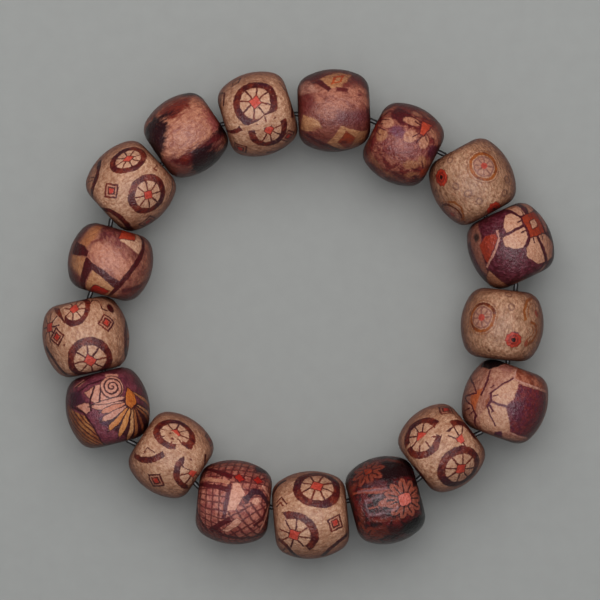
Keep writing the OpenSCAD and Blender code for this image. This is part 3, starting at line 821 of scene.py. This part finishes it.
def petalPrintOne(name, section):
    paint = Paint(name, section)
    dark = shade(74, 12, 26)
    purple = mottled(paint, shade(74, 6, 24), shade(100, 32, 48), 1.6, 0.46, 0.62)
    paint.colour = purple
    paint.streaks(shade(150, 84, 96), 40, 0.22, 3)
    petal = shade(196, 146, 118)
    rose = shade(186, 132, 116)
    sand = shade(180, 126, 94)
    paint.patch(shade(152, 96, 78), [(-5, -3.1), (-3, -3.2), (-1, -4), (2.4, -4.4), (2, -5),
                                     (-4.2, -5.2)], 0.25)
    for places in ([(-3.3, 2.9), (-2.1, 2.8), (-1.95, 0.2), (-2.8, 0.1), (-4.2, 1.1), (-4.1, 2)],
                   [(-1.7, 2.8), (-0.2, 2.8), (0.9, 1.5), (0.6, 0.3), (-0.4, -0.6), (-1.5, -0.6)],
                   [(0.2, 3.9), (4, 3.4), (3.9, 2.4), (2.4, 1.5), (0.9, 1.9), (0.1, 2.9)],
                   [(0.3, 4.2), (0.4, 5), (2.2, 5.5), (3.9, 4.6), (4.1, 3.8)],
                   [(-3, 4.2), (-3.2, 5.1), (-4.2, 4.8), (-4.9, 4)],
                   [(-3.2, 3.7), (-4.9, 3.4), (-5.1, 1.8), (-3.3, 3)]):
        paint.patch(petal, places, worn=0.1)
    for places in ([(-2.6, 5.3), (0.4, 5.3), (-0.4, 5.8), (-2, 5.8)],
                   [(4.3, 3.5), (4.9, 3), (5.4, 1.5), (5, 1.4)],
                   [(5, 0.2), (5.5, 0), (5.3, -2.6), (4.9, -2.4)]):
        paint.patch(rose, places, 0.12)
    paint.patch(shade(152, 48, 22), [(-2.5, -1.2), (-1.7, -1.3), (0.9, -4), (-1.9, -4), (-2.7, -2.6)], 0.1,
                worn=0.5)
    paint.line(rose, [(-2.7, -0.9), (-1.8, -1)], 0.14)
    paint.line(rose, [(-1.7, -1), (-0.6, -2), (1.4, -4.3)], 0.15)
    paint.spot(nearBlack, -3.1, -3.9, 0.62, 0.55, 20, 0.25, 0.85)
    paint.patch(shade(102, 42, 56), [(-3, -4.9), (2.2, -4.9), (1.8, -6), (-2.6, -6)], 0.15)
    paint.patch(sand, [(2, -4.2), (4.2, -3.1), (5.2, -3.2), (4.4, -4.7), (2.5, -5)], 0.08, edge=0.1)
    for places, half in (([(-3.1, 3), (-5, 1.3)], 0.2), ([(-1.9, 2.9), (-1.8, 1), (-1.85, -0.9)], 0.16),
                         ([(0, 3), (1.1, 1.7)], 0.2), ([(0.3, 4), (2.4, 3.9), (4.3, 3.5)], 0.13),
                         ([(0.3, 4.95), (2.2, 5.6)], 0.13), ([(-3, 4.1), (-4, 4.2), (-5, 3.5)], 0.15),
                         ([(0.3, 4.6), (1.1, 4.5)], 0.1), ([(0.3, 3.4), (1, 3.3)], 0.1),
                         ([(-3.1, 3.5), (-4, 3.4)], 0.1), ([(-2.7, 2.9), (-2.7, 2.2)], 0.1),
                         ([(-1.1, 2.9), (-1.1, 2.1)], 0.12), ([(4, 3.5), (5.2, 1.2)], 0.2),
                         ([(-2.4, -0.5), (-1.5, -0.5)], 0.1)):
        paint.line(dark, places, half)
    paint.patch(shade(156, 54, 24), [(-3, 5.1), (0.3, 5.1), (0.1, 3.1), (-3, 3.1)], 0.06, edge=0.13)
    paint.patch(petal, [(-2, 4.6), (-1, 4.6), (-0.95, 3.9), (-2, 3.9)], 0.05, edge=0.12)
    drawFlowers(paint, [(0, 12, 0, 1.3), (1, -11, 0, 1.3)], 6, petal, shade(156, 54, 24), dark)
    return paint.finish(0.5)


def petalPrintTwo(name, section):
    paint = Paint(name, section)
    wine = shade(88, 22, 38)
    rose = shade(190, 140, 124)
    petal = shade(190, 142, 114)
    paint.colour = groundWood(paint, shade(186, 136, 112), shade(154, 98, 82))
    paint.patch(shade(126, 68, 54), [(4.3, 5), (4.1, 2.2), (5, 1.4), (5.2, -1.6), (5.8, -1), (5.8, 4)],
                0.25)
    paint.patch(mottled(paint, shade(176, 108, 82), shade(132, 60, 36), 1.2),
                [(-5.6, 4.4), (-3.5, 4.8), (-3.5, 0.2), (-5.6, -0.2)], 0.1)
    paint.spot(shade(126, 46, 18), -4.8, 2.2, 0.35, 0.7, -15, 0.2)
    swirl = mottled(paint, shade(118, 40, 44), shade(92, 30, 50), 2, 0.42, 0.6)
    paint.patch(swirl, [(-0.9, 5), (0, 6), (1, 5)])
    paint.patch(swirl, [(-3.1, 5.05), (3.8, 4.95), (3.9, 2.2), (1.7, 1.1), (-3.1, 0.9)], worn=0.3)
    paint.patch(swirl, [(-0.9, 1.1), (2, 1.4), (0.6, 0.3)])
    paint.patch(mottled(paint, shade(96, 34, 54), shade(80, 22, 42), 1.5),
                [(-1.2, 2.6), (2.4, 3), (1.5, 1.2), (0.6, 0.6), (-0.3, 0.9)], 0.4, worn=0.4)
    paint.line(rose, [(-3.25, 5), (-3.4, 2.4), (-3.4, 0.2)], 0.14)
    paint.line(rose, [(3.85, 4.7), (3.9, 2)], 0.13)
    paint.line(rose, [(-5.2, -0.1), (-3.3, 0)], 0.14)
    paint.patch(petal, [(-3.3, 0.8), (-0.8, 0.9), (0.3, 0.3), (0.4, -1.4), (-0.6, -2.2), (-3.2, -0.2)],
                0.1, worn=0.1)
    paint.patch(petal, [(0.9, 0.6), (3.5, 1.9), (4.3, 1.1), (4.8, -1.8), (3.2, -2.7), (0.9, -1.8)], 0.1,
                worn=0.1)
    paint.patch(shade(92, 38, 62), [(4.1, 0.9), (4.9, 1.6), (5, 0.2), (4.5, 0.2)], 0.12)
    paint.patch(shade(150, 92, 86), [(-5.2, -0.4), (-4, -0.6), (-4, -2.6), (-5.2, -2.2)], 0.3, 0.6,
                worn=0.7)
    paint.patch(shade(142, 74, 48), [(-0.2, -2.4), (0.4, -1.8), (1.6, -2.3), (1, -2.6)], 0.25)
    paint.patch(shade(182, 92, 48), [(-0.9, -3.5), (2.8, -3.5), (2, -4.4), (0.9, -4.9), (-0.1, -4.3)], 0.2)
    for places, half in (([(0.5, 0.7), (0.65, -0.4), (0.6, -1.7)], 0.17),
                         ([(-3.5, -0.1), (-1.9, -1.4), (-0.4, -2.4)], 0.12),
                         ([(-0.5, -2.3), (0.5, -1.9), (1.5, -2.1)], 0.2),
                         ([(1.5, -2.1), (2.6, -1.2), (3.7, -0.1)], 0.12),
                         ([(-0.6, -1.2), (-0.2, -1.8)], 0.1), ([(1.2, -1.8), (1.9, -1.2)], 0.16),
                         ([(-1.7, -2.3), (-1.2, -2.6)], 0.1),
                         ([(-3.4, -3.5), (-1.6, -3.3), (0.2, -3.5)], 0.14),
                         ([(3.2, -3.2), (4.4, -2.9), (5.2, -2.3)], 0.2),
                         ([(3.2, -3.3), (2.2, -4.2), (1.5, -5.5)], 0.13),
                         ([(-1.7, -5.8), (-0.8, -5), (0.1, -4.3)], 0.13),
                         ([(0.2, -4.2), (1.4, -5.5)], 0.13),
                         ([(2.7, -3.6), (3.6, -4.1)], 0.1), ([(2.6, -4.4), (3.2, -5)], 0.1)):
        paint.line(wine, places, half)
    paint.patch(nearBlack, [(-5.2, -2.2), (-4.3, -2.6), (-3.5, -3.6), (-3.4, -4.9), (-5.2, -5)], 0.15)
    paint.patch(swirl, [(-4, 8.4), (4, 8.2), (3.6, 10.6), (-4, 10.4)])
    drawFlowers(paint, [(-1, 14, 0, 1.3), (2, -12, 0, 1.3)], 6, petal, shade(182, 92, 48), wine)
    return paint.finish(0.5)


def ruled(paint, turn, spacing, half, bend=0):
    # how deep a place lies in the nearest of many parallel lines
    angle = math.radians(turn)
    position = paint.vec("DOT_PRODUCT", paint.flat, (-math.sin(angle), math.cos(angle), 0))
    if bend:
        ahead = paint.vec("DOT_PRODUCT", paint.flat, (math.cos(angle), math.sin(angle), 0))
        position = paint.calc("MULTIPLY_ADD", paint.calc("MULTIPLY", ahead, ahead), bend, position)
    return paint.calc("SUBTRACT", half, paint.calc("PINGPONG", position, spacing / 2))


def latticePrint(name, section):
    paint = Paint(name, section)
    ink = shade(86, 12, 20)
    black = shade(62, 16, 32)
    pale = shade(206, 148, 126)
    red = shade(172, 28, 12)
    paint.colour = mottled(paint, shade(184, 116, 98), shade(150, 74, 66), 1)
    net = paint.most(ruled(paint, 4, 1.02, 0.13, 0.02), ruled(paint, 92, 1.02, 0.13, -0.02))
    left = paint.inside([(-5.4, 4.4), (1, 4.6), (0.6, 1.4), (-2.4, -0.4), (-5.4, 0)])
    slanted = paint.most(ruled(paint, -52, 1.15, 0.16), ruled(paint, 34, 1.3, 0.12))
    paint.coat(ink, paint.least(net, paint.calc("MULTIPLY", left, -1)), 0.1, 0.85)
    paint.coat(ink, paint.least(slanted, left), 0.1, 0.9)
    paint.patch(shade(116, 44, 42), [(1.4, 4.6), (5.6, 3), (5.6, 4.6), (1.4, 6)], 0.4, 0.6)
    paint.patch(pale, [(0.1, 2.2), (0.8, 2.1), (0.6, -0.8), (0.2, -2.7), (-2.4, -2.9), (-2.2, -0.2),
                       (-2.7, 0.6), (-0.4, 1.1)])
    paint.patch(pale, [(-1.5, 2.6), (0.4, 4.3), (1.2, 4.2), (-0.7, 2.2)], edge=0.08, ink=ink)
    paint.line(ink, [(0.2, 2.6), (1.4, 3.2), (2.7, 4.3)], 0.4)
    paint.line(shade(88, 26, 38), [(1.1, 2.3), (1, 0), (0.7, -2.5)], 0.32, 0.12)
    paint.line(ink, [(-4.8, 3.9), (-3, 4.7), (-0.6, 5), (1.2, 4.7), (2.2, 4.2)], 0.3)
    paint.line(ink, [(3.2, 4.3), (4.6, 2.6), (5.3, 0.6)], 0.26)
    paint.line(pale, [(4.2, 4.4), (5.1, 2.8)], 0.16)
    paint.line(ink, [(-3.3, 3), (-4.3, 1.9), (-4.9, 0)], 0.26)
    paint.line(pale, [(-4.2, 3.4), (-4.8, 1.6), (-5, 0)], 0.17)
    paint.line(black, [(-4.9, -0.3), (-3.8, -1.6), (-2.7, -1.8), (-1.7, -0.7)], 0.38)
    paint.line(black, [(-1.9, -0.1), (-1.4, -0.8)], 0.3, 0.1, 0.8)
    paint.spot(pale, -3.1, -0.5, 0.5, 0.45, 0)
    paint.line(pale, [(-5.1, -1), (-4.6, -1.9), (-3.8, -2.7)], 0.2)
    paint.line(ink, [(1, -1.7), (3, -1.9), (5.3, -2.3)], 0.36)
    paint.line(shade(186, 124, 98), [(0.9, -2.7), (3, -2.8), (5.2, -3.1)], 0.3)
    paint.line(ink, [(0.6, -3.55), (2.4, -3.9), (4.5, -4.1)], 0.36)
    for along in (-3, -0.5):
        paint.line(ink, [(along - 1, -3.9), (along, -2.9), (along + 0.9, -3.8)], 0.12)
        paint.patch(red, [(along - 0.7, -3.3), (along - 0.1, -2.95), (along + 0.6, -3.5), (along, -4)],
                    0.06, edge=0.1, ink=ink)
    paint.patch(black, [(-4.6, -4.2), (-2.6, -4.4), (-2.6, -5.2), (-4, -5.4)], 0.25)
    for across in (8, -9, 13):
        paint.line(ink, [(-5, across), (5, across + 0.3)], 0.36)
        paint.line(pale, [(-5, across + 0.8), (5, across + 1.1)], 0.26)
    return paint.finish(0.5)


def drawFan(paint, ink, petals):
    # pointed petals, each from its root to its tip
    for root, tip, half, colour in petals:
        first, last = paint.corner(*root), paint.corner(*tip)
        ahead = (last - first).normalized()
        aside = Vector((-ahead.y, ahead.x))
        length = (last - first).length
        x = paint.vec("DOT_PRODUCT", paint.flat, (ahead.x, ahead.y, -ahead.dot(first)))
        y = paint.vec("DOT_PRODUCT", paint.flat, (aside.x, aside.y, -aside.dot(first)))
        share = paint.calc("DIVIDE", x, length)
        # narrow at the root, widest near two thirds, round at the tip
        swell = paint.calc("MULTIPLY", share, paint.calc("SUBTRACT", 1, share))
        width = paint.calc("MULTIPLY", paint.calc("SQRT", paint.calc("MAXIMUM", swell, 0)), 2 * half)
        width = paint.calc("MULTIPLY", width, paint.calc("MULTIPLY_ADD", share, 0.7, 0.55))
        depth = paint.calc("SUBTRACT", width, paint.calc("ABSOLUTE", y))
        inside = paint.least(depth, paint.band(share, 0.5, 0.5))
        paint.coat(ink, paint.calc("ADD", inside, 0.13))
        paint.coat(colour, inside, 0.06, worn=0.1)


def fanPrint(name, section):
    paint = Paint(name, section)
    paint.colour = mottled(paint, shade(124, 56, 70), shade(98, 36, 54), 1.3, 0.42, 0.6)
    ink = shade(62, 10, 22)
    gold = shade(194, 120, 56)
    sand = shade(196, 144, 98)
    rose = shade(196, 136, 116)
    wing = paint.inside([(-5.6, 1.9), (-5.2, 4.6), (-2, 6.2), (1.9, 5.4), (-0.4, 3.3), (-3.4, 2.2)])
    paint.coat(mottled(paint, shade(176, 116, 66), shade(150, 84, 48), 0.7), wing)
    paint.coat(shade(88, 32, 22), paint.least(wing, ruled(paint, 34, 0.66, 0.12, 0.03)))
    paint.line(ink, [(-5.4, 1.9), (-3.4, 2.2), (-1.4, 2.8), (0.2, 3.5), (1.7, 5)], 0.14)
    paint.patch(rose, [(0, 3.1), (1.4, 4.3), (1.5, 3), (1.2, 2.4), (0.3, 2.4)], edge=0.1, ink=ink)
    paint.patch(shade(72, 26, 46), [(1.5, 4.9), (3.4, 4.6), (3.2, 3.2), (1.5, 2.8)], 0.2)
    paint.patch(rose, [(1.2, 1.6), (2.8, 2.7), (3.6, 0.8), (3.5, -0.5), (1.3, -0.5)], 0.1, edge=0.1,
                ink=ink)
    paint.patch(rose, [(4, 3.8), (4.7, 2.4), (4.4, 2.2), (3.8, 3.2)], 0.1, 0.8)
    paint.patch(rose, [(4.3, -0.7), (4.7, -0.8), (4.3, -2.5), (3.9, -2.3)], 0.1)
    for places in ([(0.2, 2.4), (1.8, 2.1), (3.5, 1)], [(1.2, 0.95), (2.4, 0.6), (3.6, 0)],
                   [(3.1, 3.4), (3.9, 2), (4.1, 0)], [(3.8, 3.7), (4.8, 1.6)]):
        paint.line(ink, places, 0.13)
    x, y = paint.split(paint.around(2.75, -1.3))[:2]
    far, turned = polar(paint, x, y)
    winding = paint.calc("MULTIPLY_ADD", turned, 0.62 / math.tau, far)
    curl = paint.calc("SUBTRACT", 0.12, paint.calc("PINGPONG", winding, 0.31))
    disc = paint.calc("SUBTRACT", 1.65, far)
    paint.coat(ink, paint.calc("ADD", disc, 0.12))
    paint.coat(rose, disc)
    paint.coat(ink, paint.least(curl, disc))
    paint.patch(shade(74, 44, 66), [(-2.6, 0.3), (-2.1, 1.5), (-0.9, 1.6), (-0.9, 0.2), (-1.8, -0.4)],
                0.25, 0.8)
    paint.patch(ink, [(-4.9, -2), (-2.9, 0.2), (0.4, 0.4), (0.6, -3), (-0.6, -4.6), (-2.6, -5.8),
                      (-4.6, -4.6)], 0.2)
    drawFan(paint, ink, [
        ((0.2, -2.4), (0.7, 2.2), 0.5, rose), ((0, -2.6), (-0.3, 1), 0.42, shade(190, 116, 88)),
        ((-0.4, -2.6), (-1.5, 1.1), 0.42, rose), ((-0.7, -2.7), (-3, 0.5), 0.4, gold),
        ((-0.8, -3), (-4.2, -0.6), 0.42, shade(198, 132, 72)), ((-0.9, -3.3), (-5.1, -1.9), 0.42, sand),
        ((-0.9, -3.5), (-5.1, -3), 0.32, shade(158, 96, 54)),
        ((-0.9, -3.7), (-4.8, -3.9), 0.27, shade(142, 78, 44)),
        ((-0.9, -3.9), (-4.2, -4.8), 0.25, shade(158, 96, 54)), ((-0.6, -4.1), (-3.3, -5.5), 0.27, sand),
        ((1.4, -3.9), (-2, -5.7), 0.3, shade(190, 128, 82)), ((1, 1.6), (0.9, -2.6), 0.28, rose),
    ])
    paint.patch(shade(190, 104, 36), [(-0.9, -3.2), (-0.1, -2.7), (1, -2.9), (2.1, -3.4), (0.9, -4.1),
                                      (-0.3, -4.1)], 0.06, edge=0.14, ink=ink)
    for across in (9, -10, 14):
        paint.patch(sand, [(-3, across), (3, across + 0.6), (2, across + 2), (-4, across + 1.6)],
                    edge=0.12, ink=ink)
    return paint.finish(0.5)


prints = {
    "banded_bead_1": bandedPrintOne,
    "banded_bead_2": bandedPrintTwo,
    "shaded_bead": shadedPrint,
    "blossom_bead": blossomPrint,
    "daisy_bead": daisyPrint,
    "rosette_bead_1": rosettePrint,
    "rosette_bead_2": rosettePrint,
    "petal_bead_1": petalPrintOne,
    "petal_bead_2": petalPrintTwo,
    "lattice_bead": latticePrint,
    "fan_bead": fanPrint,
}


# Camera, floor and light


def aim(thing, place, target):
    thing.location = place
    thing.rotation_euler = (Vector(target) - Vector(place)).to_track_quat("-Z", "Y").to_euler()


def addLight(name, place, target, size, power, colour, diffuse=True, glossy=True):
    lamp = bpy.data.lights.new(name, "AREA")
    lamp.shape = "RECTANGLE"
    lamp.size, lamp.size_y = size
    lamp.energy = power
    lamp.color = colour
    holder = bpy.data.objects.new(name, lamp)
    bpy.context.scene.collection.objects.link(holder)
    holder.visible_camera = False
    holder.visible_diffuse = diffuse
    holder.visible_glossy = glossy
    aim(holder, place, target)


def plainFinish(name, scale, first, second, values):
    # one finish whose tone wanders a little between two shades
    material = bpy.data.materials.new(name)
    material.use_nodes = True
    nodes = material.node_tree.nodes
    links = material.node_tree.links
    shader = nodes["Principled BSDF"]
    for key, value in values.items():
        shader.inputs[key].default_value = value
    coords = nodes.new("ShaderNodeTexCoord")
    grain = nodes.new("ShaderNodeTexNoise")
    grain.inputs["Scale"].default_value = scale
    tone = nodes.new("ShaderNodeMix")
    tone.data_type = "RGBA"
    tone.inputs[6].default_value = first
    tone.inputs[7].default_value = second
    links.new(coords.outputs["Object"], grain.inputs["Vector"])
    links.new(grain.outputs[0], tone.inputs[0])
    links.new(tone.outputs[2], shader.inputs["Base Color"])
    return material


camera = bpy.data.objects.new("camera", bpy.data.cameras.new("camera"))
bpy.context.scene.collection.objects.link(camera)
bpy.context.scene.camera = camera
target = Vector((0.0002, 0.002, 0.006))
camera.location = target + Vector((0, 0, cameraHeight))
camera.data.sensor_width = sensorWidth
camera.data.lens = sensorWidth * cameraHeight / viewWidth

floorMesh = bmesh.new()
bmesh.ops.create_grid(floorMesh, x_segments=2, y_segments=2, size=1.5)
floorData = bpy.data.meshes.new("floor")
floorMesh.to_mesh(floorData)
floorMesh.free()
floor = bpy.data.objects.new("floor", floorData)
bpy.context.scene.collection.objects.link(floor)
floorData.materials.append(plainFinish("paper", 400, shade(146, 147, 145), shade(152, 153, 151),
                                       {"Roughness": 0.8, "Specular IOR Level": 0.2}))

bpy.context.scene.view_settings.view_transform = "Standard"
world = bpy.data.worlds.new("studio")
bpy.context.scene.world = world
world.use_nodes = True
world.node_tree.nodes["Background"].inputs["Color"].default_value = (0.97, 0.99, 1, 1)
world.node_tree.nodes["Background"].inputs["Strength"].default_value = 0.48
world.cycles_visibility.glossy = False

addLight("key", (0, 0.2, 0.36), (0, 0, 0), (0.5, 0.4), 1.4, (1, 0.995, 0.985), glossy=False)
addLight("shine", (0, -0.05, 0.5), (0, 0, 0), (0.2, 0.14), 3.2, (0.97, 0.97, 1), diffuse=False)
addLight("glow", (0, -0.02, 0.5), (0, 0, 0), (0.6, 0.5), 0.9, (0.92, 0.94, 1), diffuse=False)
print("stage ready")


# Pieces


for name, node in sorted(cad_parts.items()):
    if name == "elastic_thread":
        continue
    middle, axis, length, width = readBead(node)
    section = Section(length, width)
    bead = makeBead(name + "_look", middle, axis, section)
    bead.data.materials.append(prints.get(name, wheelPrint)(name, section))
    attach(bead, "root")
    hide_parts(name)
    print(name, [round(v, 2) for v in (length, width)], "made")

thread = bpy.data.objects.new("thread_look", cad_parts["elastic_thread"].data.copy())
bpy.context.scene.collection.objects.link(thread)
strand = bmesh.new()
strand.from_mesh(thread.data)
bmesh.ops.remove_doubles(strand, verts=strand.verts, dist=0.000005)
bmesh.ops.recalc_face_normals(strand, faces=strand.faces)
for face in strand.faces:
    face.smooth = True
strand.to_mesh(thread.data)
strand.free()
thread.data.materials.clear()
thread.data.materials.append(plainFinish("elastic", 900, shade(40, 30, 28), shade(26, 20, 19),
                                         {"Roughness": 0.5, "Transmission Weight": 0.3}))
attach(thread, "root")
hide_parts("elastic_thread")
print("thread made")
